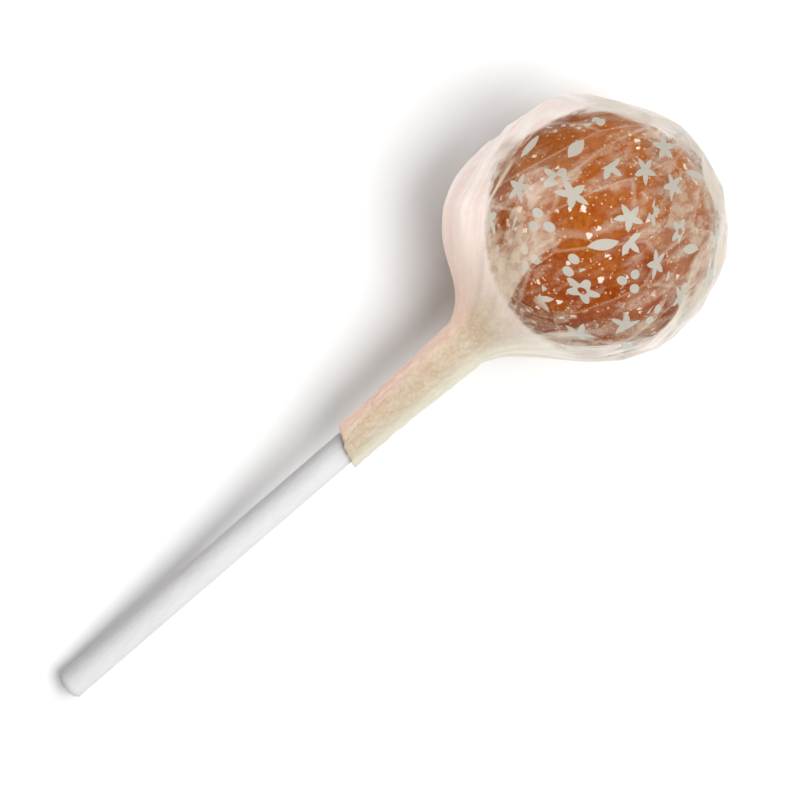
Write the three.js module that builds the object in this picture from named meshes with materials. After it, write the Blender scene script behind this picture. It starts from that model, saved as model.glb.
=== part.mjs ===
// A ball lollipop in its film wrapper, lying on a table: a boiled-sugar ball, the stick that is set in it, and
// a translucent film drawn over the ball, pleated at the neck and gathered into a sleeve round the stick.
// Units are millimetres and +Z is up. Each solid is turned about its own Y axis, with the ball's centre at the
// origin and the stick along -Y. Two groups then lay it along X and let the stick's free end down to the table.
import * as THREE from "three";

const { degToRad, lerp, smoothstep } = THREE.MathUtils;
const point = (x, y) => new THREE.Vector2(x, y);

// Driving dimensions
const CANDY_RADIUS = 15;
const STICK_RADIUS = 1.9;
const STICK_REACH = 89; // from the ball's centre to the stick's free end
const STICK_TOP = 3; // how far past the ball's centre the stick goes
const STICK_BEVEL = 0.25;
const CLEARANCE = 0.3; // between two solids that touch
const FILM_SLACK = 0.35; // the film's ease over the ball
const FILM_UNDER_BALL = 0.25; // what is left of it where the ball's weight presses it on the table

// The film's bag and sleeve, before its facets and pleats
const FILM_RADIUS = CANDY_RADIUS + CLEARANCE + FILM_SLACK;
const BAG_TURN = degToRad(105); // from the crown to where the bag leaves the ball
const SHOULDER = point(12.6, -13); // control points of the curve from bag to sleeve
const THROAT = point(3.5, -16.2);
const SLEEVE_TOP = point(3.05, -22);
const SLEEVE_RADIUS = 2.55;
const SLEEVE_WAIST = -34; // along the stick, where the sleeve has come down to its radius
const SLEEVE_END = -41.3;
const SLEEVE_SLANT = 1.05; // the cut edge is this much longer on one side and shorter on the other

// Slack film stands off the ball in flat facets
const FACETS = 26;
const FACET_TURN = degToRad(175);
const FACET_WOBBLE = 0.4;
const FACET_SHARPNESS = 70;
const FACET_SHARE = 0.5; // of the height that truly flat facets would have
const FACETS_FADE = [-16, -8]; // along the axis, from none to full

// Two fuller lobes on the +Y side, each at an angle from the crown
const LOBES = [
  { fromCrown: degToRad(66), height: 0.8, spread: 5.5 },
  { fromCrown: degToRad(137), height: 3, spread: 7 },
];

// Pleats run from the widest part of the bag to the cut edge, each a few mesh columns wide
const PLEAT_WIDTHS = [6, 6, 4, 5, 7, 5, 6, 5, 6, 4, 7, 5, 6];
const PLEAT_CLIMB = 2; // columns that climb to the ridge; the rest fall away from it
const PLEATS_START = 4; // along the axis
const PLEATS_FULL = -11;
const PLEAT_DEPTH_NECK = 0.6;
const PLEAT_DEPTH_SLEEVE = 0.12;
const PLEAT_TWIST = 0.015; // radians for each millimetre down from the start

// Each mesh column's height on its pleat, 0 in the valleys and 1 on the ridges
const pleatRidges = PLEAT_WIDTHS.flatMap((width) =>
  Array.from({ length: width }, (_, column) =>
    column < PLEAT_CLIMB ? column / PLEAT_CLIMB : (width - column) / (width - PLEAT_CLIMB),
  ),
);

// Facet counts
const WRAPPER_COLUMNS = pleatRidges.length;
const CANDY_COLUMNS = 48;
const STICK_COLUMNS = 32;
const BAG_ROWS = 48;
const CANDY_ROWS = 18;
const CAVITY_ROWS = 12;

// The ball stands on the film under it, and the stick slopes until its lower rim meets the table
const CENTRE_HEIGHT = CANDY_RADIUS + CLEARANCE + FILM_UNDER_BALL;
const RIM_REACH = STICK_REACH - STICK_BEVEL;
const SLOPE =
  Math.asin(CENTRE_HEIGHT / Math.hypot(RIM_REACH, STICK_RADIUS)) - Math.atan2(STICK_RADIUS, RIM_REACH);

// Directions in a solid's own axes
const AXIS = new THREE.Vector3(0, 1, 0);
const TABLE_UP = new THREE.Vector3(0, Math.sin(SLOPE), Math.cos(SLOPE));
const BORE_RADIUS = STICK_RADIUS + CLEARANCE;

// Points of a round outline from the mouth of the stick's bore up to the crown.
function ballRows(radius, rows) {
  const mouth = -Math.acos(BORE_RADIUS / radius);
  const crown = Math.PI / 2;
  return Array.from({ length: rows + 1 }, (_, row) => {
    const angle = lerp(mouth, crown, row / rows);
    return point(row === rows ? 0 : radius * Math.cos(angle), radius * Math.sin(angle));
  });
}

// A cylinder with bevelled ends.
function stickGeometry() {
  const rim = STICK_RADIUS - STICK_BEVEL;
  const profile = [
    point(0, -STICK_REACH),
    point(rim, -STICK_REACH),
    point(STICK_RADIUS, -RIM_REACH),
    point(STICK_RADIUS, STICK_TOP - STICK_BEVEL),
    point(rim, STICK_TOP),
    point(0, STICK_TOP),
  ];
  return new THREE.LatheGeometry(profile, STICK_COLUMNS);
}

// A ball with a blind bore that takes the stick.
function candyGeometry() {
  const boreTop = STICK_TOP + CLEARANCE;
  const profile = [point(0, boreTop), point(BORE_RADIUS, boreTop), ...ballRows(CANDY_RADIUS, CANDY_ROWS)];
  return new THREE.LatheGeometry(profile, CANDY_COLUMNS);
}

// Directions of the film's flat facets: a golden spiral of points on a sphere, its turns made uneven.
const facetDirections = Array.from({ length: FACETS }, (_, k) => {
  const along = 1 - (2 * k + 1) / FACETS;
  const reach = Math.sqrt(1 - along ** 2);
  const goldenAngle = Math.PI * (3 - Math.sqrt(5));
  const turn = k * goldenAngle + FACET_TURN + FACET_WOBBLE * Math.sin(2.4 * k + 1);
  return new THREE.Vector3(-reach * Math.sin(turn), along, reach * Math.cos(turn));
});

// How far flat facets that touch the film's sphere stand off it in a direction, with their edges rounded.
function facetStandOff(direction) {
  const sum = facetDirections.reduce(
    (total, facet) => total + Math.max(0, facet.dot(direction)) ** FACET_SHARPNESS,
    0,
  );
  return FACET_SHARE * FILM_RADIUS * (sum ** (-1 / FACET_SHARPNESS) - 1);
}

// Rounded bumps of slack film.
function lobeStandOff(place) {
  return LOBES.reduce((total, { fromCrown, height, spread }) => {
    const centre = new THREE.Vector3(-Math.sin(fromCrown), Math.cos(fromCrown), 0).multiplyScalar(FILM_RADIUS);
    return total + height * Math.exp(-place.distanceToSquared(centre) / spread ** 2);
  }, 0);
}

// Pleats deepen from the bag's widest part to the neck, and are shallow on the sleeve.
function pleatDepth(along) {
  const opened = 1 - smoothstep(along, PLEATS_FULL, PLEATS_START);
  const gathered = 1 - smoothstep(along, SLEEVE_TOP.y, THROAT.y);
  return opened * lerp(PLEAT_DEPTH_NECK, PLEAT_DEPTH_SLEEVE, gathered);
}

// The film's outer outline from the cut edge up to the crown, evenly spaced.
function bagRows() {
  const crown = Math.PI / 2;
  const leaves = crown - BAG_TURN;
  const foot = point(FILM_RADIUS * Math.cos(leaves), FILM_RADIUS * Math.sin(leaves));
  const path = new THREE.Path();
  path.moveTo(SLEEVE_RADIUS, SLEEVE_END);
  path.lineTo(SLEEVE_RADIUS, SLEEVE_WAIST);
  path.lineTo(SLEEVE_TOP.x, SLEEVE_TOP.y);
  path.bezierCurveTo(THROAT.x, THROAT.y, SHOULDER.x, SHOULDER.y, foot.x, foot.y);
  path.absarc(0, 0, FILM_RADIUS, leaves, crown, false);
  const rows = path.getSpacedPoints(BAG_ROWS);
  rows.at(-1).x = 0;
  return rows;
}

// The wrapper is solid from its outer film in to the ball and the stick, and open where the stick comes out.
function wrapperGeometry() {
  const bag = bagRows();
  const cavity = ballRows(CANDY_RADIUS + CLEARANCE, CAVITY_ROWS).reverse();
  const bore = [point(BORE_RADIUS, SLEEVE_WAIST), point(BORE_RADIUS, SLEEVE_END)];
  const profile = [...cavity, ...bore, ...bag];
  const geometry = new THREE.LatheGeometry(profile, WRAPPER_COLUMNS);
  const positions = geometry.getAttribute("position");
  const place = new THREE.Vector3();
  for (let i = 0; i < positions.count; i++) {
    const row = i % profile.length;
    const column = Math.floor(i / profile.length) % WRAPPER_COLUMNS;
    const onBag = row >= profile.length - bag.length;
    place.fromBufferAttribute(positions, i);
    place.applyAxisAngle(AXIS, PLEAT_TWIST * Math.max(0, PLEATS_START - place.y));
    if (onBag) drawOut(place, pleatRidges[column]);
    slantCutEdge(place);
    if (onBag) restOnTable(place);
    positions.setXYZ(i, place.x, place.y, place.z);
  }
  return geometry;
}

// Moves a point of the outer film out to its facet and lobe, and then away from the axis to its pleat.
function drawOut(place, ridge) {
  const along = place.y;
  const outward = place.clone().normalize();
  const facet = facetStandOff(outward) * smoothstep(along, ...FACETS_FADE);
  place.addScaledVector(outward, facet + lobeStandOff(place));
  const radius = Math.hypot(place.x, place.z);
  const stretch = radius > 0 ? 1 + (pleatDepth(along) * ridge) / radius : 1;
  place.x *= stretch;
  place.z *= stretch;
}

// The film's cut edge runs a little aslant round the stick.
function slantCutEdge(place) {
  const nearEnd = 1 - smoothstep(place.y, SLEEVE_END, SLEEVE_WAIST);
  place.y -= (SLEEVE_SLANT * nearEnd * place.x) / SLEEVE_RADIUS;
}

// Film that would be under the table is pressed flat on it.
function restOnTable(place) {
  const height = CENTRE_HEIGHT + place.dot(TABLE_UP);
  if (height < 0) place.addScaledVector(TABLE_UP, -height);
}

// Finishes
const candyFinish = new THREE.MeshStandardMaterial({ color: 0xb4621e, roughness: 0.25, metalness: 0 });
const stickFinish = new THREE.MeshStandardMaterial({ color: 0xf1f1ef, roughness: 0.75, metalness: 0 });
const filmFinish = new THREE.MeshStandardMaterial({
  color: 0xf0e4da,
  roughness: 0.35,
  metalness: 0,
  transparent: true,
  opacity: 0.45,
});

function piece(name, geometry, finish) {
  const mesh = new THREE.Mesh(geometry, finish);
  mesh.name = name;
  return mesh;
}

// The stick's axis along X, with the ball towards +X
const alongX = new THREE.Group();
alongX.rotation.z = -Math.PI / 2;
alongX.add(
  piece("candy", candyGeometry(), candyFinish),
  piece("stick", stickGeometry(), stickFinish),
  piece("wrapper", wrapperGeometry(), filmFinish),
);

// The stick's end let down to the table, and the whole centred over the origin
const lying = new THREE.Group();
lying.rotation.y = -SLOPE;
lying.add(alongX);
const lollipop = new THREE.Group();
lollipop.add(lying);
lollipop.updateMatrixWorld(true);
const middle = new THREE.Box3().setFromObject(lollipop, true).getCenter(new THREE.Vector3());
lying.position.set(-middle.x, -middle.y, CENTRE_HEIGHT);

export default lollipop;
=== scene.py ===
"""A wrapped ball lollipop on a pale table: a boiled-sugar ball, a rolled paper stick and a printed film.

Each piece is a surface turned about the stick's axis, worked out in millimetres in the lollipop's own
axes: along the stick towards the ball, across, and up. The ball's centre is the zero. lay_down() then
slopes it to the table.
"""

import math

import bpy
import numpy as np
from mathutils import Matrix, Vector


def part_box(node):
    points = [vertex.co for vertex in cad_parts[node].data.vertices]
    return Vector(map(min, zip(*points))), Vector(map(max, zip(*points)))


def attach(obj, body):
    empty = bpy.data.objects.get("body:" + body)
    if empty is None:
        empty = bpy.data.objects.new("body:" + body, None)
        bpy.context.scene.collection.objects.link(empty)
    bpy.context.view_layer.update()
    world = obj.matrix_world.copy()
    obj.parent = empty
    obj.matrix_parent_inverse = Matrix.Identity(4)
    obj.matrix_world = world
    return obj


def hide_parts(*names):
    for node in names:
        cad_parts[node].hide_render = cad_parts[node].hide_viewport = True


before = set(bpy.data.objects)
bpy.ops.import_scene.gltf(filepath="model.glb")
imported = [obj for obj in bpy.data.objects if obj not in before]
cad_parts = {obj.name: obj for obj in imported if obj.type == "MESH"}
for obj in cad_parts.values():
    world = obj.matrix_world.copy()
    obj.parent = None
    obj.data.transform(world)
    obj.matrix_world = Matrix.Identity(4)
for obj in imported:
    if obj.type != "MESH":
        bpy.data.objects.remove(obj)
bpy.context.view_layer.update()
rng = np.random.default_rng(11)

# Sizes in millimetres, as in the solids
MM = 0.001
CANDY_RADIUS = 15
STICK_RADIUS = 1.9
STICK_REACH = 89
STICK_TOP = 3
STICK_BEVEL = 0.25
CLEARANCE = 0.3
BORE_RADIUS = STICK_RADIUS + CLEARANCE
FILM_RADIUS = 15.65
FILM_WALL = 0.06
SLEEVE_RADIUS = 2.55
SLEEVE_WAIST = -34
SLEEVE_END = -41.3
SLEEVE_SLANT = 1.05

# The film's outline leaves the ball at an angle from the crown, and bends to the sleeve by three points,
# each a radius and a place along the axis
BAG_TURN = math.radians(105)
SHOULDER = np.array([12.6, -13])
THROAT = np.array([3.5, -16.2])
SLEEVE_TOP = np.array([3.05, -22])

# Where the ball's centre is, and how far the stick slopes down to rest its end's rim on the table
candy_low, candy_high = (np.array(corner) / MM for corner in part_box("candy"))
BALL_CENTRE = (candy_low + candy_high) / 2
RIM_REACH = STICK_REACH - STICK_BEVEL
RIM_DISTANCE = math.hypot(RIM_REACH, STICK_RADIUS)
SLOPE = math.asin(BALL_CENTRE[2] / RIM_DISTANCE) - math.atan2(STICK_RADIUS, RIM_REACH)
FULL_TURN = 2 * math.pi
GOLDEN_TURN = math.pi * (3 - math.sqrt(5))


# Shapes

def smooth(value, start, end):
    """0 at start and 1 at end, eased at both: 3s² - 2s³ of the share s of the way."""
    share = np.clip((value - start) / (end - start), 0, 1)
    return share * share * (3 - 2 * share)


def round_angles(columns):
    """Evenly spaced angles of a full turn."""
    return np.linspace(0, FULL_TURN, columns, endpoint=False)


def turned(radius, along, angle):
    """Points at that radius from the axis, the angle counted from straight up towards -Y."""
    across = -radius * np.sin(angle)
    up = radius * np.cos(angle)
    return np.stack(np.broadcast_arrays(along, across, up), -1)


def lay_down(points):
    """From the lollipop's own axes to the table's, in metres: turned by the slope about the centre."""
    along, across, up = np.moveaxis(points, -1, 0)
    level = along * math.cos(SLOPE) - up * math.sin(SLOPE)
    height = along * math.sin(SLOPE) + up * math.cos(SLOPE)
    return (np.stack([level, across, height], -1) + BALL_CENTRE) * MM


def skin_faces(rows, columns):
    """Quads of a grid that closes round its columns, then the two fans that close its first and last row.

    Points are numbered row by row, with the first fan's tip and the last fan's tip after them.
    """
    column = np.arange(columns)
    beside = (column + 1) % columns
    start = np.arange(rows - 1)[:, None] * columns
    corners = [start + column, start + columns + column, start + columns + beside, start + beside]
    quads = np.stack(corners, -1).reshape(-1, 4)
    last = (rows - 1) * columns
    first_tip = np.full(columns, rows * columns)
    first_fan = np.stack([first_tip, column, beside], -1)
    last_fan = np.stack([last + column, first_tip + 1, last + beside], -1)
    return quads, np.concatenate([first_fan, last_fan])


def make_piece(name, grid, tips, material):
    """One closed mesh from a grid of points and the tips of its two ends, in the lollipop's own axes."""
    rows, columns = grid.shape[:2]
    points = lay_down(np.concatenate([grid.reshape(-1, 3), np.array(tips, float)]))
    quads, fans = skin_faces(rows, columns)
    mesh = bpy.data.meshes.new(name)
    mesh.from_pydata(points, [], quads.tolist() + fans.tolist())
    mesh.shade_smooth()
    mesh.materials.append(material)
    piece = bpy.data.objects.new(name, mesh)
    bpy.context.scene.collection.objects.link(piece)
    return piece


def stands_for(piece, node):
    """The piece rides on the part and takes the node's place."""
    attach(piece, "root")
    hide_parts(node)


def give_values(piece, name, values):
    """One number or vector for each point of the mesh, for its material to read."""
    kind, field = ("FLOAT", "value") if values.ndim == 1 else ("FLOAT_VECTOR", "vector")
    attribute = piece.data.attributes.new(name, kind, "POINT")
    attribute.data.foreach_set(field, values.astype(np.float32).ravel())


def spread_directions(count, turn, wobble):
    """Unit vectors of a golden spiral over a sphere, its turns made uneven by a sine."""
    k = np.arange(count)
    along = 1 - (2 * k + 1) / count
    angle = k * GOLDEN_TURN + turn + wobble * np.sin(2.4 * k + 1)
    reach = np.sqrt(1 - along ** 2)
    return np.stack([along, reach * np.sin(angle), reach * np.cos(angle)], -1)


def facet_stand_off(direction, facets, sharpness):
    """How far flat facets that touch the unit sphere stand off it in a direction.

    The nearest facet is at 1 / cosine. A power sum of the cosines takes the place of the largest one, which
    rounds the edges.
    """
    cosine = np.clip(direction @ facets.T, 0, None)
    return np.sum(cosine ** sharpness, -1) ** (-1 / sharpness) - 1


# Candy

def candy_shape():
    """A ball with a blind bore: an arc from the crown to the bore's mouth, then the bore's wall to its end.

    The ball's radius has shallow dents, which are the flat facets of a wobbly spiral, and a low ripple,
    which is the mean of three crossing sine waves.
    """
    ball_rows, bore_rows, columns = 150, 12, 200
    dents, dent_share, sharpness = 90, 0.5, 160
    ripple, wave_pace = 0.05, 9
    angle = round_angles(columns)
    mouth = math.pi - math.asin(BORE_RADIUS / CANDY_RADIUS)
    from_crown = np.linspace(0, mouth, ball_rows + 1)[1:, None]
    direction = turned(np.sin(from_crown), np.cos(from_crown), angle)
    facets = spread_directions(dents, turn=1.0, wobble=1.5)
    dented = dent_share * facet_stand_off(direction, facets, sharpness)
    dented -= dented.max()
    waves = direction @ rng.normal(0, wave_pace, (3, 3))
    rippled = ripple * (np.sin(waves + [0, 1, 2]).mean(-1) - 1)
    ball = direction * (CANDY_RADIUS * (1 + dented) + rippled)[..., None]
    bore_end = STICK_TOP + CLEARANCE
    bore_along = np.linspace(ball[-1, :, 0].min(), bore_end, bore_rows)[:, None]
    bore = turned(BORE_RADIUS, bore_along, angle)
    crown = ball[0].mean(0)
    return np.concatenate([ball, bore]), [crown, [bore_end, 0, 0]]


# Stick

def stick_shape():
    """A cylinder with bevelled ends, rolled from paper.

    A shallow step winds slowly along it where the paper's edge is. Its ends have the roll's spiral as a
    groove.
    """
    columns, shaft_rows, end_rings = 120, 140, 22
    seam_at, seam_step, seam_width, seam_turn = 2.2, 0.05, 0.5, 0.012
    groove, pitch, first_ring = 0.09, 0.34, 0.03
    rim = STICK_RADIUS - STICK_BEVEL
    angle = round_angles(columns)
    rings = np.linspace(first_ring, rim, end_rings)[:, None]
    layers = rings / pitch - angle / FULL_TURN
    depth = groove * (0.5 + 0.5 * np.cos(FULL_TURN * layers)) * smooth(rings, rim, rim - pitch)
    top_end = turned(rings, STICK_TOP - depth, angle)
    free_end = turned(rings, -STICK_REACH + depth, angle)[::-1]
    along = np.linspace(STICK_TOP - STICK_BEVEL, -RIM_REACH, shaft_rows)[:, None]
    past_seam = np.mod(angle - seam_at + seam_turn * along, FULL_TURN) * STICK_RADIUS
    seam = seam_step * np.exp(-past_seam / seam_width)
    shaft = turned(STICK_RADIUS - seam, along, angle)
    return np.concatenate([top_end, shaft, free_end]), [[STICK_TOP, 0, 0], [-STICK_REACH, 0, 0]]


# Film wrapper

FILM_COLUMNS = 384
BAG_ROWS = 152
SLEEVE_ROWS = 48
INNER_ROW_STEP = 4
INNER_COLUMN_REACH = 2
COLUMN_STEP = FULL_TURN / FILM_COLUMNS
COLUMN_ANGLES = round_angles(FILM_COLUMNS)

# Slack facets and fine crinkles, which fade out towards the neck, and two fuller lobes: degrees from the
# crown on the +Y side, height and spread
FACETS = spread_directions(26, turn=math.radians(175), wobble=0.4)
FACET_SHARPNESS = 70
FACET_SHARE = 0.5
CRINKLES = spread_directions(260, turn=0.3, wobble=2.0)
CRINKLE_SHARPNESS = 1200
CRINKLE_SHARE = 0.6
FACETS_FADE = (-16, -8)
LOBES = ((66, 0.8, 5.5), (137, 3.0, 7))

# Pleats at the neck, and how the film's columns twist and sway. The pleats' widths, their climb and the steep
# edge at the climb's end are counted in columns of the solid
PLEAT_WIDTHS = np.array([6, 6, 4, 5, 7, 5, 6, 5, 6, 4, 7, 5, 6])
PLEAT_CLIMB = 2
PLEAT_EDGE = 1.5
PLEATS_START = 4
PLEATS_FULL = -11
PLEAT_DEPTH_NECK = 0.6
PLEAT_DEPTH_SLEEVE = 0.06
PLEAT_TWIST = 0.015
SOLID_COLUMN = FULL_TURN / PLEAT_WIDTHS.sum()
PLEAT_EDGES = SOLID_COLUMN * np.concatenate([[0], np.cumsum(PLEAT_WIDTHS)])
STEEP_SIDE = SOLID_COLUMN * (PLEAT_CLIMB - PLEAT_EDGE)
SWAY = 0.16
SWAY_FADE = (15, 5)

# The sleeve's room round the stick, and its small gathers: height, waves round it, how fast they wind along
# it, and how fast they waver
SLEEVE_EASE = 0.11
GATHERS = ((0.06, 9, 1.1, 0.9), (0.05, 17, -1.9, 1.3))
GATHER_WAVER = 2

# Uneven cut of the sleeve's edge: height, waves round it, and where they start
CUT_WAVES = ((0.08, 5, 1), (0.05, 13, 0))

# Folds on the shown side: degrees from straight up towards -Y, the side that is raised and cloudy, where
# the fold ends along the axis, its height, how cloudy it is, and how wide the cloud is
SHOWN_FOLDS = (
    (-55, -1, -6, 0.25, 0.6, 6),
    (-31, 1, 8, 0.15, 0.25, 2),
    (-9, -1, 0, 0.25, 0.66, 7),
    (24, 1, -4, 0.25, 0.5, 4),
    (38, -1, 9, 0.12, 0.3, 1.5),
    (52, 1, 12, 0.3, 0.5, 6),
    (88, -1, 9, 0.2, 0.3, 3),
)

# The length in which a fold opens from its end, the width in which its step decays, a hair's turn that keeps
# points on the edge itself on the raised side, and the cloud's narrowest and evenly cloudy shares
FOLD_FADE = 6
FOLD_DECAY = 1.2
FOLD_HAIR = 1e-6
FOLD_CLOUD_NARROWEST = 0.3
FOLD_CLOUD_CORE = 0.25

# Parts of the ball's rim where the film is looser or cloudier: degrees of the compass from +X towards +Y,
# the spread as two cosines from that side, and two distances from the upright through the ball's centre.
# Here and below, a pair says where something starts and where it is full
FULLER_RIM = (160, (-0.75, 0.1), (13.2, 14.5))
FULLER_HEIGHT = (-4, 0)
FAR_RIM = (280, (0, 0.7), (13.6, 15.3))
FAR_RIM_GAP = (0.6, 1.15)
FAR_RIM_LOOSE = 0.6
LOBE_RIM = (152, (0.86, 0.97), (11.8, 13.4))
LOBE_HEIGHT = (-3, 2)
LOBE_CLOUD = 0.55

# The neck's compass side and its spread, how much further out the fuller rim starts there, and where along
# the axis the neck is loose
NECK_SIDE = math.radians(207)
NECK_SPREAD = (0.6, 0.95)
NECK_HOLD = 1.4
NECK_LOOSE = (-11, -15)

# Gaps to the candy where the film starts to be loose and where it is fully loose, how much less they are on
# the fuller rim, and how cloudy loose film is
GAP_START = 0.95
GAP_FULL = 2.9
GAP_START_LESS = 0.4
GAP_FULL_LESS = 1.65
LOOSE_CLOUD = 0.93

# The cloud over the ball's far end, along the axis and across it
END_CLOUD = 0.24
END_ALONG = (3, 11)
END_ACROSS = (4, -4)

# Where the film takes the sleeve's colours, and where its wall is counted from the axis and not from the
# ball's centre
GATHERED = (-8, -19)
ON_SLEEVE = (-8, -17)

# Units of the flat sheet's map in millimetres, and the narrow tube that the film's streaks, which are painted
# highlights, are drawn on
SHEET_UNIT = 100
STREAK_RADIUS = 12
STREAK_SQUEEZE = 0.12


def film_profile():
    """Radius and place along the axis of the film's outline, and the length run from the crown.

    An arc over the ball, a cubic Bezier from bag to sleeve, and two straight lines, resampled by length.
    """
    steps = 200
    arc = np.linspace(0, BAG_TURN, steps)[:, None]
    over_ball = FILM_RADIUS * np.hstack([np.sin(arc), np.cos(arc)])
    t = np.linspace(0, 1, steps)[1:, None]
    neck = (
        (1 - t) ** 3 * over_ball[-1]
        + 3 * (1 - t) ** 2 * t * SHOULDER
        + 3 * (1 - t) * t ** 2 * THROAT
        + t ** 3 * SLEEVE_TOP
    )
    taper = [[SLEEVE_RADIUS, SLEEVE_WAIST], [SLEEVE_RADIUS, SLEEVE_END]]
    outline = np.concatenate([over_ball, neck, taper])
    run = np.concatenate([[0], np.cumsum(np.linalg.norm(np.diff(outline, axis=0), axis=1))])
    sleeve_from = run[len(over_ball) + len(neck) - 1]
    bag_rows = np.linspace(0, sleeve_from, BAG_ROWS + 1)[1:]
    sleeve_rows = np.linspace(sleeve_from, run[-1], SLEEVE_ROWS + 1)[1:]
    wanted = np.concatenate([bag_rows, sleeve_rows])
    return np.interp(wanted, run, outline[:, 0]), np.interp(wanted, run, outline[:, 1]), wanted


def film_base(radius, along):
    """The turned outline, and the directions to it from the ball's centre and square to the axis.

    Its columns twist evenly from the bag's widest part to the cut edge, and sway as a slow sine.
    """
    sway = SWAY * np.sin(0.2 * along + 2 * COLUMN_ANGLES + 0.6) * smooth(along, *SWAY_FADE)
    angle = COLUMN_ANGLES + PLEAT_TWIST * np.clip(PLEATS_START - along, 0, None) + sway
    base = turned(radius, along, angle)
    direction = base / np.linalg.norm(base, axis=-1, keepdims=True)
    outward = turned(1, 0 * along, angle)
    return base, direction, outward


def fold_lines():
    """The folds that run up from the neck: the ones on the shown side given one by one, the others drawn at
    random.

    A fold lies on a column of the mesh, so that its edge is crisp.
    """
    below = np.linspace(100, 260, 9)
    count = len(below)
    drawn = np.stack(
        [
            below + rng.uniform(-6, 6, count),
            rng.choice([-1, 1], count),
            rng.uniform(-6, 9, count),
            rng.uniform(0.1, 0.3, count),
            rng.uniform(0.25, 0.6, count),
            rng.uniform(1, 6, count),
        ],
        1,
    )
    folds = np.concatenate([SHOWN_FOLDS, drawn])
    folds[:, 0] = np.round(np.radians(folds[:, 0]) / COLUMN_STEP) * COLUMN_STEP
    return folds


def beside_fold(fold_angle, side, end, radius, along):
    """How far round a point is from a fold's edge, towards its raised side, and how open the fold is."""
    turn = np.mod(side * (COLUMN_ANGLES - fold_angle) + FOLD_HAIR, FULL_TURN)
    return turn * radius, smooth(along, end, end - FOLD_FADE)


def film_slack(folds, radius, along, base, direction):
    """How far the film stands out from the turned outline, away from the ball's centre.

    It has flat facets, fine crinkles, lobes and folds. A lobe is a bell, e^(-(distance / spread)²). A fold
    is a step that decays to its raised side as e^(-distance / FOLD_DECAY).
    """
    on_ball = smooth(along, *FACETS_FADE)
    slack = FACET_SHARE * facet_stand_off(direction, FACETS, FACET_SHARPNESS)
    slack += CRINKLE_SHARE * facet_stand_off(direction, CRINKLES, CRINKLE_SHARPNESS)
    slack *= FILM_RADIUS * on_ball
    for from_crown, height, spread in LOBES:
        lean = math.radians(from_crown)
        centre = FILM_RADIUS * np.array([math.cos(lean), math.sin(lean), 0])
        slack += height * np.exp(-np.sum((base - centre) ** 2, -1) / spread ** 2)
    for fold_angle, side, end, height, _, _ in folds:
        past, opened = beside_fold(fold_angle, side, end, radius, along)
        slack += height * opened * on_ball * np.exp(-past / FOLD_DECAY)
    return slack


def over(first, second):
    """How much two cloudy layers hide together: 1 less what gets through both."""
    return 1 - (1 - first) * (1 - second)


def on_rim(rim, compass, aside):
    """1 on one side of the ball's rim and 0 elsewhere, by the cosine from that side and the distance."""
    side, spread, distances = rim
    return smooth(np.cos(compass - math.radians(side)), *spread) * smooth(aside, *distances)


def fold_clouds(folds, radius, along):
    """How cloudy the folds make the film: most at the fold's edge, fading over the cloud's width."""
    cloudy = np.zeros((len(radius), FILM_COLUMNS))
    for fold_angle, side, end, _, cloud, width in folds:
        past, opened = beside_fold(fold_angle, side, end, radius, along)
        reach = width * (FOLD_CLOUD_NARROWEST + (1 - FOLD_CLOUD_NARROWEST) * opened)
        cloudy = over(cloudy, cloud * opened * (1 - smooth(past, FOLD_CLOUD_CORE * reach, reach)))
    return cloudy


def film_clouds(folds, radius, along, base, slack_film):
    """How cloudy the film is, and how loose: 0 where it clings to the candy and 1 where it hangs free.

    It loosens as its gap to the candy widens, sooner on the fuller side's rim and at the neck, and partly
    on the far rim. It is cloudy where it is loose, beside folds, at the ball's far end on the -Y side, and
    on the rim by the lobes.
    """
    x, y, height = np.moveaxis(lay_down(slack_film) / MM - BALL_CENTRE, -1, 0)
    aside = np.hypot(x, y)
    compass = np.arctan2(y, x)
    gap = np.linalg.norm(slack_film, axis=-1) - CANDY_RADIUS
    held_back = NECK_HOLD * smooth(np.cos(compass - NECK_SIDE), *NECK_SPREAD)
    fuller = on_rim(FULLER_RIM, compass, aside - held_back) * smooth(height, *FULLER_HEIGHT)
    fuller = over(fuller, smooth(along, *NECK_LOOSE))
    loose = smooth(gap, GAP_START - GAP_START_LESS * fuller, GAP_FULL - GAP_FULL_LESS * fuller)
    far_rim = on_rim(FAR_RIM, compass, aside) * smooth(gap, *FAR_RIM_GAP)
    loose = over(loose, FAR_RIM_LOOSE * far_rim)

    cloudy = fold_clouds(folds, radius, along)
    far_end = smooth(along, *END_ALONG) * smooth(base[..., 1], *END_ACROSS)
    cloudy = over(cloudy, END_CLOUD * far_end)
    cloudy = over(cloudy, LOOSE_CLOUD * loose)
    by_lobes = on_rim(LOBE_RIM, compass, aside) * smooth(height, *LOBE_HEIGHT)
    return over(cloudy, LOBE_CLOUD * by_lobes), loose


def pleat_ridge(angle):
    """Height on the pleat, 0 in the valleys and 1 on the ridges: a steep climb, then a long fall."""
    pleat = np.searchsorted(PLEAT_EDGES, angle, side="right") - 1
    column = (angle - PLEAT_EDGES[pleat]) / SOLID_COLUMN
    climb = smooth(column, PLEAT_CLIMB - PLEAT_EDGE, PLEAT_CLIMB)
    fall = 1 - (column - PLEAT_CLIMB) / (PLEAT_WIDTHS[pleat] - PLEAT_CLIMB)
    return np.where(column < PLEAT_CLIMB, climb, fall)


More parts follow.
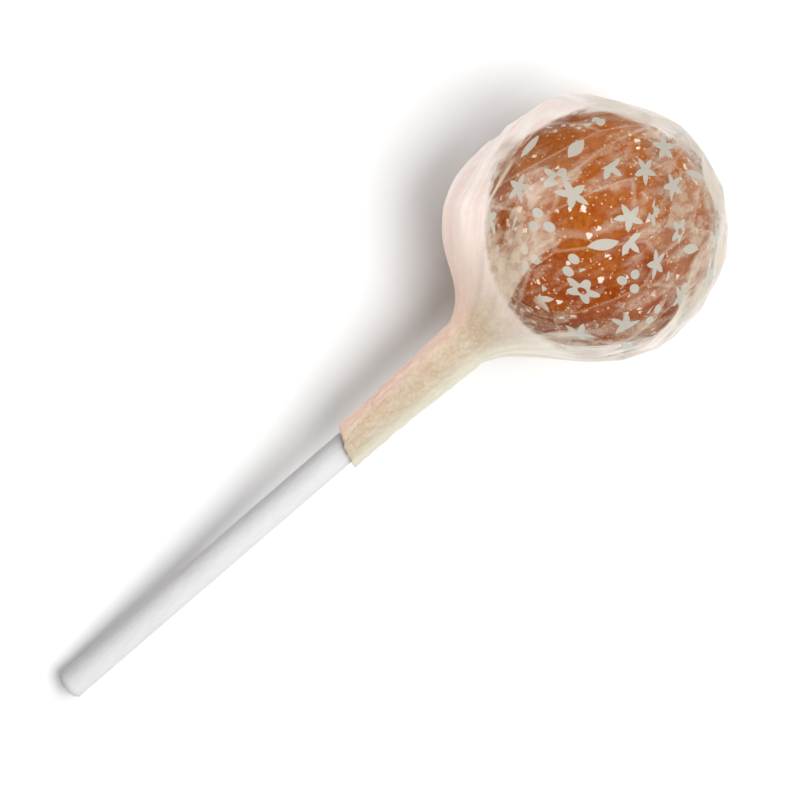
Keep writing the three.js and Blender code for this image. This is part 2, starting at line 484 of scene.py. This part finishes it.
def film_pleats(along):
    """How far the pleats stand out from the axis, and the sleeve's gathers, which are two wavering sines.

    The pleats deepen from the bag's widest part to the neck, and are shallow on the sleeve.
    """
    opened = smooth(along, PLEATS_START, PLEATS_FULL)
    gathered = smooth(along, THROAT[1], SLEEVE_TOP[1])
    depth = opened * (PLEAT_DEPTH_NECK + (PLEAT_DEPTH_SLEEVE - PLEAT_DEPTH_NECK) * gathered)
    gathers = 0
    for height, waves, wind, waver in GATHERS:
        swing = GATHER_WAVER * np.sin(waver * along)
        gathers = gathers + height * np.sin(waves * COLUMN_ANGLES + wind * along + swing)
    return depth * pleat_ridge(COLUMN_ANGLES) + (SLEEVE_EASE + gathers) * gathered


def cut_edge(along, across):
    """How far the sleeve's end is moved towards the ball: more towards +Y, for its slant, and unevenly."""
    ragged = sum(height * np.sin(waves * COLUMN_ANGLES + start) for height, waves, start in CUT_WAVES)
    return smooth(along, SLEEVE_WAIST, SLEEVE_END) * (SLEEVE_SLANT * across / SLEEVE_RADIUS + ragged)


def lowest_near(values):
    """The lowest of each point's neighbours up to a few rows and columns away."""
    rows, count = INNER_ROW_STEP, len(values)
    padded = np.pad(values, ((rows, rows), (0, 0)), mode="edge")
    lowest = np.minimum.reduce([padded[k:k + count] for k in range(2 * rows + 1)])
    shifts = range(-INNER_COLUMN_REACH, INNER_COLUMN_REACH + 1)
    return np.minimum.reduce([np.roll(lowest, k, axis=1) for k in shifts])


def press_on_table(points, least):
    """Points lower than least above the table are moved up to it."""
    up = np.array([math.sin(SLOPE), 0, math.cos(SLOPE)])
    height = points @ up + BALL_CENTRE[2]
    return points + np.clip(least - height, 0, None)[..., None] * up


def sheet_map(radius, run):
    """Where each corner of the outer wall's faces lies on the flat sheet, from its middle.

    Between two folds the film keeps its true size: the length run from the crown goes outwards along the
    panel's middle line, and the width round the ball goes square to it. What doesn't fit is tucked into the
    folds.
    """
    column = np.arange(FILM_COLUMNS)
    panel = np.searchsorted(PLEAT_EDGES, (column + 0.5) * COLUMN_STEP - STEEP_SIDE) - 1
    middle = ((PLEAT_EDGES[:-1] + PLEAT_EDGES[1:]) / 2 + STEEP_SIDE)[panel]
    corners = []
    for row_step, column_step in ((0, 0), (1, 0), (1, 1), (0, 1)):
        rows = np.arange(len(run) - 1) + row_step
        turn = np.mod((column + column_step) * COLUMN_STEP - middle + math.pi, FULL_TURN) - math.pi
        aside = radius[rows] * turn
        x = run[rows] * np.cos(middle) - aside * np.sin(middle)
        y = run[rows] * np.sin(middle) + aside * np.cos(middle)
        corners.append(np.stack([x, y], -1))
    return np.stack(corners, 2).reshape(-1, 2) / SHEET_UNIT


def make_film(material):
    """The film as one closed shell: the outer wall from the crown to the cut edge, then an inner wall back.

    The inner wall is coarser, and keeps below the outer one's lowest points near it.
    """
    radius, along, run = (values[:, None] for values in film_profile())
    base, direction, outward = film_base(radius, along)
    folds = fold_lines()
    slack = film_slack(folds, radius, along, base, direction)
    cloudy, loose = film_clouds(folds, radius, along, base, base + direction * slack[..., None])
    pleat = film_pleats(along)
    base[..., 0] += cut_edge(along, base[..., 1])

    outer = base + direction * slack[..., None] + outward * pleat[..., None]
    inner = base + direction * lowest_near(slack)[..., None] + outward * lowest_near(pleat)[..., None]
    on_sleeve = smooth(base[..., :1], *ON_SLEEVE)
    inward = direction * (1 - on_sleeve) + outward * on_sleeve
    inner -= FILM_WALL * inward / np.linalg.norm(inward, axis=-1, keepdims=True)
    outer = press_on_table(outer, 0)
    inner = press_on_table(inner, FILM_WALL)[::-1][::INNER_ROW_STEP]
    tips = [outer[0].mean(0), inner[-1].mean(0)]
    film = make_piece("film_wrapper", np.concatenate([outer, inner]), tips, material)

    inside = np.zeros((inner[..., 0].size + 2, 3))
    outer_values = {
        "cloudy": cloudy,
        "loose": loose,
        # Y share of the outward direction, which the sleeve's painted light reads
        "painted_light_side": outward[..., 1],
        "outer_wall": np.ones_like(cloudy),
        "gathered": smooth(outer[..., 0], *GATHERED),
    }
    for name, values in outer_values.items():
        give_values(film, name, np.concatenate([values.ravel(), inside[:, 0]]))
    drawn = turned(STREAK_RADIUS, STREAK_SQUEEZE * run, COLUMN_ANGLES).reshape(-1, 3)
    give_values(film, "drawn", np.concatenate([drawn, inside]))
    on_sheet = sheet_map(radius, run)
    uv = np.zeros((len(film.data.loops), 2), np.float32)
    uv[: len(on_sheet)] = on_sheet
    film.data.uv_layers.new(name="sheet").data.foreach_set("uv", uv.ravel())
    return film


# Material helpers

def put(tree, kind, inputs=None, **settings):
    """Adds a node, sets its fields, and sets or links its inputs by name or number."""
    node = tree.nodes.new("ShaderNode" + kind)
    for field, value in settings.items():
        setattr(node, field, value)
    for key, value in (inputs or {}).items():
        if isinstance(value, bpy.types.NodeSocket):
            tree.links.new(value, node.inputs[key])
        else:
            node.inputs[key].default_value = value
    return node


def calc(tree, operation, *values):
    """The result of a Math node."""
    return put(tree, "Math", dict(enumerate(values)), operation=operation).outputs[0]


def times(tree, first, second):
    """The product of two values."""
    return calc(tree, "MULTIPLY", first, second)


def times_plus(tree, first, second, added):
    """The product of two values, plus a third."""
    return calc(tree, "MULTIPLY_ADD", first, second, added)


def minus(tree, first, second):
    """The first value less the second."""
    return calc(tree, "SUBTRACT", first, second)


def ramp(tree, value, start, end, low=0.0, high=1.0):
    """Eases from low to high as the value goes from start to end."""
    inputs = {"Value": value, "From Min": start, "From Max": end, "To Min": low, "To Max": high}
    return put(tree, "MapRange", inputs, interpolation_type="SMOOTHSTEP").outputs["Result"]


def scaled(tree, vector, factor):
    """A vector times a number."""
    return put(tree, "VectorMath", {0: vector, "Scale": factor}, operation="SCALE").outputs[0]


def reach_along(tree, place, axis):
    """How far a place is along an axis: their dot product."""
    return put(tree, "VectorMath", {0: place, 1: axis}, operation="DOT_PRODUCT").outputs["Value"]


def length(tree, vector):
    """The length of a vector."""
    return put(tree, "VectorMath", {0: vector}, operation="LENGTH").outputs["Value"]


def noise(tree, place, scale, detail, roughness):
    """The value of a noise texture."""
    inputs = {"Vector": place, "Scale": scale, "Detail": detail, "Roughness": roughness}
    return put(tree, "TexNoise", inputs).outputs["Fac"]


def blend(tree, share, first, second):
    """A colour between two colours."""
    return put(tree, "Mix", {0: share, 6: first, 7: second}, data_type="RGBA").outputs[2]


def colour(red, green, blue):
    """A picture's 0 to 255 colour as the linear colour that a shader takes."""
    share = np.array([red, green, blue]) / 255
    linear = np.where(share <= 0.04045, share / 12.92, ((share + 0.055) / 1.055) ** 2.4)
    return (*linear.tolist(), 1.0)


def new_group(name, inputs):
    """An empty shader node group with float or vector inputs and a mask as its output."""
    group = bpy.data.node_groups.new(name, "ShaderNodeTree")
    for socket, kind in inputs.items():
        group.interface.new_socket(socket, in_out="INPUT", socket_type="NodeSocket" + kind)
    group.interface.new_socket("Mask", in_out="OUTPUT", socket_type="NodeSocketFloat")
    source = group.nodes.new("NodeGroupInput").outputs
    sink = group.nodes.new("NodeGroupOutput").inputs
    return group, source, sink


def place_group(tree, group, **inputs):
    """The mask of a group, with the group's inputs set."""
    return put(tree, "Group", inputs, node_tree=group).outputs["Mask"]


def new_material(name):
    """A material with an empty node tree but for its output and a Principled shader."""
    material = bpy.data.materials.new(name)
    material.use_nodes = True
    tree = material.node_tree
    return material, tree, tree.nodes["Principled BSDF"].inputs


def object_place(tree):
    """A place on the object, in metres."""
    return put(tree, "TexCoord").outputs["Object"]


def point_value(tree, name):
    """A number that the mesh holds for each point."""
    return put(tree, "Attribute", attribute_name=name).outputs["Fac"]


def bumped(tree, shader, height, strength, depth):
    """Gives the shader a fine relief, its depth in millimetres."""
    bump = put(tree, "Bump", {"Height": height, "Strength": strength, "Distance": depth * MM})
    tree.links.new(bump.outputs[0], shader["Normal"])


# Shared patterns

def mottle_group():
    """Soft blotches of a size in millimetres, from 0 to 1."""
    group, given, result = new_group("mottle", {"Place": "Vector", "Size": "Float"})
    scale = calc(group, "DIVIDE", 1 / MM, given["Size"])
    blotches = noise(group, given["Place"], scale, detail=3.0, roughness=0.55)
    group.links.new(ramp(group, blotches, 0.3, 0.7), result["Mask"])
    return group


def fleck_group():
    """Scattered irregular grains.

    Size is their spacing in millimetres, and Share is how many of the cells hold one. The places are bent
    by noise before they are looked up, which makes the grains irregular.
    """
    bend, least_radius, more_radius = 0.7, 0.16, 0.2
    group, given, result = new_group("flecks", {"Place": "Vector", "Size": "Float", "Share": "Float"})
    scale = calc(group, "DIVIDE", 1 / MM, given["Size"])
    bent = put(group, "TexNoise", {"Vector": given["Place"], "Scale": times(group, scale, 2.0)})
    middle = (0.5, 0.5, 0.5)
    offset = put(group, "VectorMath", {0: bent.outputs["Color"], 1: middle}, operation="SUBTRACT")
    shift = scaled(group, offset.outputs[0], times(group, given["Size"], bend * MM))
    warped = put(group, "VectorMath", {0: given["Place"], 1: shift}, operation="ADD")
    cells = put(group, "TexVoronoi", {"Vector": warped.outputs[0], "Scale": scale})
    parts = put(group, "SeparateColor", {0: cells.outputs["Color"]}).outputs
    held = calc(group, "LESS_THAN", parts[0], given["Share"])
    radius = times_plus(group, parts[1], more_radius, least_radius)
    inside = ramp(group, minus(group, radius, cells.outputs["Distance"]), -0.03, 0.06)
    group.links.new(times(group, held, inside), result["Mask"])
    return group


def star(tree, far, turn):
    """Five points: the edge goes out from the core as a power of the share of the way to the tip."""
    points, core, reach, power = 5, 0.65, 1.1, 1.3
    half_point = calc(tree, "PINGPONG", times(tree, turn, points / FULL_TURN), 0.5)
    tip = times(tree, half_point, 2.0)
    edge = times_plus(tree, calc(tree, "POWER", tip, power), reach, core)
    return minus(tree, edge, far)


def flower(tree, far, turn):
    """Five round petals, as a cosine of the angle, and a hole in the middle."""
    petals, radius, wave, hole = 5.0, 1.25, 0.42, 0.42
    edge = times_plus(tree, calc(tree, "COSINE", times(tree, turn, petals)), wave, radius)
    return calc(tree, "MINIMUM", minus(tree, edge, far), minus(tree, far, hole))


def leaf(tree, u, v):
    """A blade between two parabolas."""
    half_width, bend = 0.6, -0.2
    blade = times_plus(tree, times(tree, u, u), bend, half_width)
    return minus(tree, blade, calc(tree, "ABSOLUTE", v))


def three_dots(tree, far, turn):
    """Three dots round a middle, folded into one by their symmetry."""
    radius, off_middle = 0.55, 0.95
    third = calc(tree, "PINGPONG", turn, math.pi / 3)
    out = times(tree, calc(tree, "COSINE", third), far)
    off = times(tree, calc(tree, "SINE", third), far)
    from_dot = put(tree, "CombineXYZ", {0: minus(tree, out, off_middle), 1: off}).outputs[0]
    return minus(tree, radius, length(tree, from_dot))


def confetti_group():
    """A print of stars, flowers, leaves and dots, one to a cell, each turned and moved at random.

    Sheet is a place on the flat film in millimetres. The cells are in rows, every second one moved by half
    a cell, and some are empty. Each shape is how far inside its edge a place is, in millimetres.
    """
    cell, soft_edge = 4.8, 0.05
    nearest, furthest = 0.4, 0.6
    group, given, result = new_group("confetti_print", {"Sheet": "Vector"})
    x, y, _ = put(group, "SeparateXYZ", {0: scaled(group, given["Sheet"], 1 / cell)}).outputs
    row = calc(group, "FLOOR", y)
    x = times_plus(group, calc(group, "FLOORED_MODULO", row, 2.0), 0.5, x)
    column = calc(group, "FLOOR", x)
    cell_at = put(group, "CombineXYZ", {0: column, 1: row}).outputs[0]
    chance = put(group, "TexWhiteNoise", {"Vector": cell_at}, noise_dimensions="3D")
    draws = put(group, "SeparateColor", {0: chance.outputs["Color"]}).outputs
    moved = {}
    for axis, (place, start) in enumerate(((x, column), (y, row))):
        middle = ramp(group, draws[axis + 1], 0, 1, nearest, furthest)
        moved[axis] = minus(group, minus(group, place, start), middle)
    local = put(group, "CombineXYZ", moved).outputs[0]
    spin = times(group, draws[0], FULL_TURN)
    spun = put(group, "VectorRotate", {"Vector": local, "Angle": spin}, rotation_type="Z_AXIS").outputs[0]
    sized = scaled(group, spun, cell)
    u, v, _ = put(group, "SeparateXYZ", {0: sized}).outputs
    far = length(group, sized)
    turn = calc(group, "ARCTAN2", v, u)

    shapes = (
        (star(group, far, turn), 0, 0.28),
        (flower(group, far, turn), 0.28, 0.5),
        (leaf(group, u, v), 0.5, 0.64),
        (three_dots(group, far, turn), 0.64, 0.8),
    )
    mask = 0.0
    for depth, low, high in shapes:
        chosen = calc(group, "COMPARE", chance.outputs["Value"], (low + high) / 2, (high - low) / 2)
        mask = times_plus(group, chosen, ramp(group, depth, -soft_edge, soft_edge), mask)
    group.links.new(mask, result["Mask"])
    return group


MOTTLE = mottle_group()
FLECKS = fleck_group()
CONFETTI = confetti_group()


# Materials

def candy_finish():
    """Orange-brown boiled sugar: deep and lighter blotches, fine pale grains, and crystals in clusters.

    The colour is darker towards the neck and the -Y side, and lighter towards the far end and the +Y side.
    """
    deep, light = colour(115, 32, 1), colour(157, 90, 18)
    grain, crystal = colour(196, 166, 130), colour(222, 208, 194)
    deepest, lightest = -18, 14
    material, tree, shader = new_material("boiled_sugar")
    place = object_place(tree)
    broad = place_group(tree, MOTTLE, Place=place, Size=6.0)
    fine = place_group(tree, MOTTLE, Place=place, Size=0.6)
    diagonal = reach_along(tree, place, (1 / MM, 1 / MM, 0))
    middle = float(BALL_CENTRE[0] + BALL_CENTRE[1])
    lighter = ramp(tree, diagonal, middle + deepest, middle + lightest)
    tone = times_plus(tree, broad, 0.25, times(tree, lighter, 0.35))
    tone = times_plus(tree, fine, 0.4, tone)
    grains = place_group(tree, FLECKS, Place=place, Size=0.5, Share=0.45)
    crystals = place_group(tree, FLECKS, Place=place, Size=1.3, Share=0.55)
    clusters = times(tree, crystals, ramp(tree, broad, 0.3, 0.6))
    sugar = blend(tree, tone, deep, light)
    sugar = blend(tree, times(tree, grains, 0.8), sugar, grain)
    sugar = blend(tree, times(tree, clusters, 0.85), sugar, crystal)
    tree.links.new(sugar, shader["Base Color"])
    tree.links.new(ramp(tree, fine, 0, 1, 0.3, 0.5), shader["Roughness"])
    shader["Specular IOR Level"].default_value = 0.1
    bumped(tree, shader, calc(tree, "ADD", fine, clusters), strength=0.4, depth=0.1)
    return material


def stick_finish():
    """Matte white paper with faint fibres along the roll."""
    dark, light = colour(204, 203, 203), colour(214, 213, 213)
    squeeze = (0.12, 1, 1)
    material, tree, shader = new_material("rolled_paper")
    place = object_place(tree)
    along_roll = {"Vector": place, "Rotation": (0, SLOPE, 0), "Scale": squeeze}
    stretched = put(tree, "Mapping", along_roll).outputs[0]
    fibres = place_group(tree, MOTTLE, Place=stretched, Size=0.35)
    shade = place_group(tree, MOTTLE, Place=place, Size=9.0)
    tone = times_plus(tree, fibres, 0.6, times(tree, shade, 0.4))
    tree.links.new(blend(tree, tone, dark, light), shader["Base Color"])
    tree.links.new(ramp(tree, fibres, 0, 1, 0.7, 0.85), shader["Roughness"])
    bumped(tree, shader, fibres, strength=0.25, depth=0.05)
    return material


# How the film was crumpled: where the pattern lies in metres, which way and how much it is drawn out, how far
# apart its creases are in millimetres, and how much its frost grows a metre along X, Y and Z
CRUMPLE_AT = (-0.001, -0.024, 0.003)
CRUMPLE_TURN = math.radians(-16)
CRUMPLE_STRETCH = (2.8, 1, 1)
CREASE_SPACING = 5.5
HAZE_RISE = np.array([13, -11.18, 0])


def film_print(tree, gathered):
    """The confetti print, which ends where the bag is gathered into the sleeve."""
    sheet = put(tree, "UVMap", uv_map="sheet").outputs[0]
    confetti = place_group(tree, CONFETTI, Sheet=scaled(tree, sheet, SHEET_UNIT))
    return times(tree, confetti, ramp(tree, gathered, 0.15, 0.02))


def film_creases(tree, crumpled):
    """Straight creases between the flat panels of crumpled film, and how milky each panel is."""
    cells = {"Vector": crumpled, "Scale": 1 / (CREASE_SPACING * MM)}
    to_crease = put(tree, "TexVoronoi", cells, feature="DISTANCE_TO_EDGE").outputs["Distance"]
    panel = put(tree, "SeparateColor", {0: put(tree, "TexVoronoi", cells).outputs["Color"]}).outputs[0]
    return ramp(tree, to_crease, 0.035, 0.008), ramp(tree, panel, 0.4, 1.0)


def film_frost(tree, place, crumpled, dust):
    """Dusty frosted patches, drawn out as the film was crumpled, with more of them towards +X and -Y."""
    rise = reach_along(tree, place, HAZE_RISE.tolist())
    rise = minus(tree, rise, float(HAZE_RISE @ BALL_CENTRE) * MM)
    patches = place_group(tree, MOTTLE, Place=crumpled, Size=2.6)
    frost = ramp(tree, calc(tree, "ADD", patches, rise), 0.58, 0.95)
    return times(tree, frost, ramp(tree, dust, 0.1, 0.9, 0.5, 1.0))


def bag_colour(tree, loose, blotches, combed):
    """Beige where the film clings to the candy, and pinkish white, combed lengthwise, where it is loose."""
    clinging = blend(tree, blotches, colour(209, 191, 166), colour(207, 196, 175))
    hanging = blend(tree, combed, colour(235, 218, 211), colour(241, 235, 228))
    return blend(tree, loose, clinging, hanging)


def sleeve_colour_with_painted_light(tree, painted_light_side, blotches, dust):
    """Speckled beige with painted light: a pink painted rim highlight on the side towards +Y, and a paler
    painted lit side towards -Y.
    """
    speckled = times_plus(tree, dust, 0.6, times(tree, blotches, 0.4))
    beige = blend(tree, speckled, colour(189, 162, 132), colour(204, 192, 171))
    # painted highlight: a pink rim on the side towards +Y
    beige = blend(tree, ramp(tree, painted_light_side, 0.2, 0.95, 0, 0.7), beige, colour(224, 191, 178))
    # painted light: a paler side towards -Y, where the lamps fall
    return blend(tree, ramp(tree, painted_light_side, -0.1, -0.9, 0, 0.8), beige, colour(224, 221, 201))


def film_finish():
    """Waxy printed film: clear where it clings, and cloudy where it is folded or stands off.

    Alpha is what the film's layers hide together. Most of a lamp's light passes where the film clings. The
    inner wall isn't drawn, so that the film counts once.
    """
    ink = colour(187, 184, 172)
    clearest, blotched = 0.998, 0.03
    material, tree, shader = new_material("printed_film")
    place = object_place(tree)
    cloudy, loose = point_value(tree, "cloudy"), point_value(tree, "loose")
    gathered, painted_light_side = point_value(tree, "gathered"), point_value(tree, "painted_light_side")
    drawn = put(tree, "Attribute", attribute_name="drawn").outputs["Vector"]
    shape = {"Location": CRUMPLE_AT, "Rotation": (0, 0, CRUMPLE_TURN), "Scale": CRUMPLE_STRETCH}
    crumpled = put(tree, "Mapping", {"Vector": place, **shape}, vector_type="TEXTURE").outputs[0]
    blotches = place_group(tree, MOTTLE, Place=place, Size=2.6)
    dust = place_group(tree, MOTTLE, Place=place, Size=0.45)
    printed = film_print(tree, gathered)
    creases, panels = film_creases(tree, crumpled)
    frost = film_frost(tree, place, crumpled, dust)
    # painted highlights: whiter streaks in the film's haze, along its length
    painted_highlight_streaks = ramp(tree, noise(tree, drawn, 1.6, detail=3.0, roughness=0.6), 0.56, 0.8)
    combed = ramp(tree, noise(tree, drawn, 0.8, detail=1.5, roughness=0.5), 0.3, 0.7)

    fibrous = place_group(tree, MOTTLE, Place=crumpled, Size=1.1)
    uneven = calc(tree, "POWER", cloudy, ramp(tree, fibrous, 0.1, 0.9, 1.7, 0.6))
    slant = put(tree, "LayerWeight", {"Blend": 0.5}).outputs["Facing"]
    edge_on = ramp(tree, slant, 0.45, 0.8)
    layers = (
        (uneven, 1.0),
        (frost, 0.36),
        (painted_highlight_streaks, 0.09),
        (creases, 0.24),
        (panels, 0.12),
        (printed, 0.93),
        (edge_on, 0.92),
    )
    clear = times_plus(tree, ramp(tree, blotches, 0.4, 1.0), -blotched, clearest)
    for layer, hidden in layers:
        clear = times(tree, clear, times_plus(tree, layer, -hidden, 1.0))
    tree.links.new(minus(tree, 1.0, clear), shader["Alpha"])

    bag = bag_colour(tree, loose, blotches, combed)
    # the sleeve's colour holds painted light: a pink rim highlight and a paler lit side
    sleeve = sleeve_colour_with_painted_light(tree, painted_light_side, blotches, dust)
    inked = times(tree, printed, ramp(tree, cloudy, 0.4, 0.9, 1.0, 0.15))
    tree.links.new(blend(tree, inked, blend(tree, gathered, bag, sleeve), ink), shader["Base Color"])
    shader["Roughness"].default_value = 0.45
    shader["Specular IOR Level"].default_value = 0.3
    shader["Sheen Weight"].default_value = 0.45
    shader["Sheen Roughness"].default_value = 0.4
    wrinkles = place_group(tree, MOTTLE, Place=place, Size=0.8)
    bumped(tree, shader, times_plus(tree, combed, loose, wrinkles), strength=0.3, depth=0.12)

    to_lamp = put(tree, "LightPath").outputs["Is Shadow Ray"]
    let_through = times(tree, to_lamp, ramp(tree, loose, 0.65, 1, 0.8, 0.05))
    there = times(tree, point_value(tree, "outer_wall"), minus(tree, 1.0, let_through))
    nothing = put(tree, "BsdfTransparent").outputs[0]
    seen = put(tree, "MixShader", {0: there, 1: nothing, 2: tree.nodes["Principled BSDF"].outputs[0]})
    tree.links.new(seen.outputs[0], tree.nodes["Material Output"].inputs["Surface"])
    return material


def table_finish():
    """Plain white paper, too even to show a pattern."""
    material, _, shader = new_material("white_table")
    shader["Base Color"].default_value = (0.9, 0.9, 0.9, 1)
    shader["Roughness"].default_value = 0.9
    return material


# Table, camera and light: lengths in millimetres, and the pixels of the ball's centre and the stick's end

TABLE_REACH = 3000
IMAGE_SIDE = 800
BALL_PIXEL = np.array([597, 229])
STICK_END_PIXEL = np.array([68, 686])
CAMERA_HEIGHT = 450
CAMERA_CLIP = 10
SENSOR = 36
LAMP_DISTANCE = 900
COOL = (0.98, 1, 1)
WARM = (1, 0.94, 0.91)
AMBER = (1, 0.8, 0.6)
ROOM_COLOUR = (1, 0.918, 0.905, 1)
ROOM_STRENGTH = 0.213
FILM_LAYERS_PASSED = 24


def add_table():
    """A wide flat sheet at zero height."""
    side = TABLE_REACH * MM
    corners = [(-side, -side, 0), (side, -side, 0), (side, side, 0), (-side, side, 0)]
    mesh = bpy.data.meshes.new("table")
    mesh.from_pydata(corners, [], [(0, 1, 2, 3)])
    mesh.materials.append(table_finish())
    table = bpy.data.objects.new("table", mesh)
    bpy.context.scene.collection.objects.link(table)
    return table


def add_camera():
    """Looks straight down. Its lens and place put the ball's centre and the stick's end on their pixels."""
    middle = np.array([IMAGE_SIDE, IMAGE_SIDE]) / 2
    along_image = (BALL_PIXEL - STICK_END_PIXEL) / np.linalg.norm(BALL_PIXEL - STICK_END_PIXEL)
    ball_at = (BALL_PIXEL - middle) @ along_image
    end_at = (STICK_END_PIXEL - middle) @ along_image
    end_height = BALL_CENTRE[2] - STICK_REACH * math.sin(SLOPE)
    ball_below = CAMERA_HEIGHT - BALL_CENTRE[2]
    end_below = CAMERA_HEIGHT - end_height
    focal_pixels = (ball_at * ball_below - end_at * end_below) / (STICK_REACH * math.cos(SLOPE))
    data = bpy.data.cameras.new("camera")
    data.sensor_width = SENSOR
    data.lens = focal_pixels * SENSOR / IMAGE_SIDE
    data.clip_start = CAMERA_CLIP * MM
    camera = bpy.data.objects.new("camera", data)
    x = BALL_CENTRE[0] - ball_at * ball_below / focal_pixels
    camera.location = np.array([x, BALL_CENTRE[1], CAMERA_HEIGHT]) * MM
    camera.rotation_euler = (0, 0, math.atan2(along_image[1], along_image[0]))
    bpy.context.scene.collection.objects.link(camera)
    bpy.context.scene.camera = camera


def set_of(name, pieces):
    """A collection of pieces for a lamp to go by."""
    collection = bpy.data.collections.new(name)
    for piece in pieces:
        collection.objects.link(piece)
    return collection


def add_lamp(name, azimuth, elevation, size, power, tint, lights=None, shaded_by=None):
    """A square soft lamp that shines on the ball from a compass angle, counted from +X towards +Y.

    It lights every piece and is shaded by every piece, unless it is told which.
    """
    turn, lift = math.radians(azimuth), math.radians(elevation)
    data = bpy.data.lights.new(name, "AREA")
    data.size = size * MM
    data.energy = power
    data.color = tint
    lamp = bpy.data.objects.new(name, data)
    level = math.cos(lift)
    to_lamp = np.array([level * math.cos(turn), level * math.sin(turn), math.sin(lift)])
    lamp.location = (BALL_CENTRE + LAMP_DISTANCE * to_lamp) * MM
    lamp.rotation_euler = (math.pi / 2 - lift, 0, turn + math.pi / 2)
    bpy.context.scene.collection.objects.link(lamp)
    if lights:
        lamp.light_linking.receiver_collection = set_of("lit_by_" + name, lights)
    if shaded_by:
        lamp.light_linking.blocker_collection = set_of("shades_" + name, shaded_by)


def add_light(candy, stick, film, table):
    """Two soft lamps at the photograph's right, a warm room, and a fill and a glow from the left.

    The fill is for the wrapped ball and the glow for the candy alone. They stand for the light that film
    and sugar pass on inside themselves.
    """
    keyed = [candy, stick, table]
    add_lamp("near_key", azimuth=-76, elevation=63, size=545, power=7.8, tint=COOL)
    add_lamp("far_key", azimuth=-1, elevation=41, size=1100, power=7.6, tint=COOL, lights=keyed)
    wrapped = {"lights": [candy, film], "shaded_by": [candy]}
    add_lamp("fill", azimuth=115, elevation=30, size=500, power=5.0, tint=WARM, **wrapped)
    alone = {"lights": [candy], "shaded_by": [candy]}
    add_lamp("glow", azimuth=200, elevation=22, size=500, power=2.2, tint=AMBER, **alone)
    world = bpy.data.worlds.new("white_room")
    world.use_nodes = True
    room = world.node_tree.nodes["Background"].inputs
    room["Color"].default_value = ROOM_COLOUR
    room["Strength"].default_value = ROOM_STRENGTH
    scene = bpy.context.scene
    scene.world = world
    scene.view_settings.view_transform = "Standard"
    scene.cycles.transparent_max_bounces = FILM_LAYERS_PASSED


table = add_table()
add_camera()
candy = make_piece("candy_ball", *candy_shape(), candy_finish())
stands_for(candy, "candy")
stick = make_piece("paper_stick", *stick_shape(), stick_finish())
stands_for(stick, "stick")
film = make_film(film_finish())
stands_for(film, "wrapper")
add_light(candy, stick, film, table)
